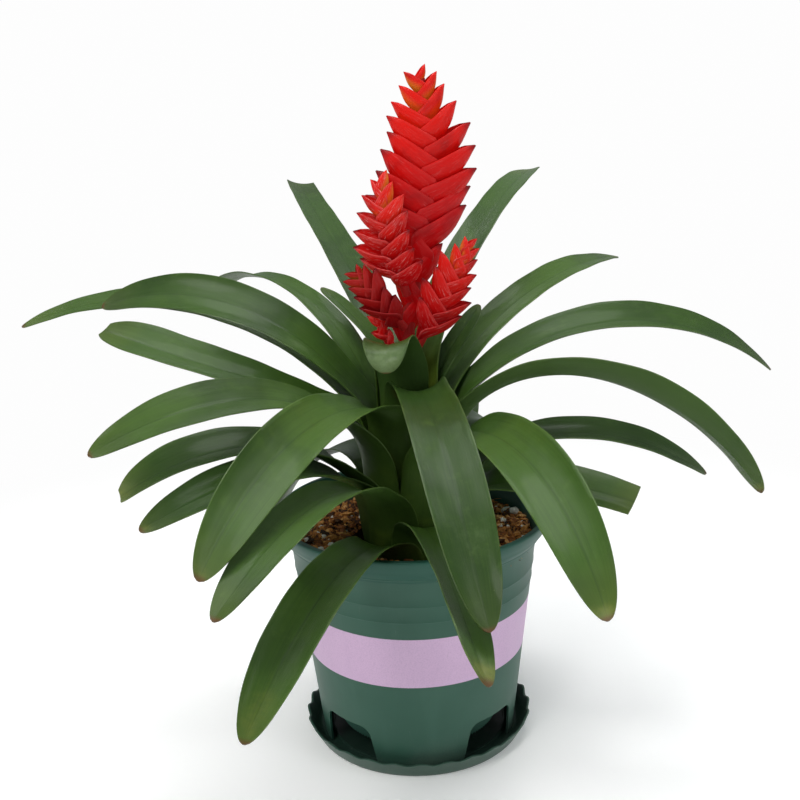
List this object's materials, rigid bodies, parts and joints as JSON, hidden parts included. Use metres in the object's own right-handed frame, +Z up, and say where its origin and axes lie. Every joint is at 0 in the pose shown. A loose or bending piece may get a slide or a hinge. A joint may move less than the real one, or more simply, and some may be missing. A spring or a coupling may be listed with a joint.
{
  "type": "potted bromeliad",
  "caption": "Potted bromeliad: a rosette of arching strap leaves round a branched red flower spike, in a tapered nursery pot on a scalloped saucer.",
  "frame": {"origin": "centre of the saucer's flat underside, on the axis of the pot", "axes": "+Z up along the pot's axis; the side seen in the picture faces -Y; +X to the viewer's right"},
  "size_m": [0.4679, 0.4376, 0.402],
  "materials": {
    "saucer_plastic": "semi-gloss dark green",
    "pot_plastic": "satin green with a lilac printed band",
    "bark_soil": "loose bark chips, coir and white perlite",
    "stem_tissue": "dull",
    "leaf_tissue": "glossy waxy green",
    "bract_tissue": "glossy red, orange-yellow towards the tips"
  },
  "bodies": {
    "root": {"saucer": "saucer_plastic", "pot": "pot_plastic", "soil": "bark_soil", "stem": "stem_tissue", "leaf_cup_front": "leaf_tissue", "leaf_front_centre": "leaf_tissue", "leaf_front_low": "leaf_tissue", "leaf_front_right_broad": "leaf_tissue", "leaf_right_cut": "leaf_tissue", "leaf_right_low": "leaf_tissue", "leaf_right_arched": "leaf_tissue", "leaf_right_long": "leaf_tissue", "leaf_right_high": "leaf_tissue", "leaf_upright_right": "leaf_tissue", "leaf_inner_right": "leaf_tissue", "leaf_back_right_low": "leaf_tissue", "leaf_back_right": "leaf_tissue", "leaf_back_right_high": "leaf_tissue", "leaf_back_high": "leaf_tissue", "leaf_back_low": "leaf_tissue", "leaf_back_left": "leaf_tissue", "leaf_upright_left": "leaf_tissue", "leaf_inner_left": "leaf_tissue", "leaf_left_arched": "leaf_tissue", "leaf_left_high": "leaf_tissue", "leaf_left_long": "leaf_tissue", "leaf_left_blunt": "leaf_tissue", "leaf_left_level": "leaf_tissue", "leaf_left_twisted": "leaf_tissue", "leaf_left_low": "leaf_tissue", "leaf_front_left_broad": "leaf_tissue", "leaf_front_left_low": "leaf_tissue", "leaf_front_left_lowest": "leaf_tissue", "bloom_main": "bract_tissue", "bloom_left_upper": "bract_tissue", "bloom_left_lower": "bract_tissue", "bloom_left_small": "bract_tissue", "bloom_right": "bract_tissue"}
  },
  "joints": []
}
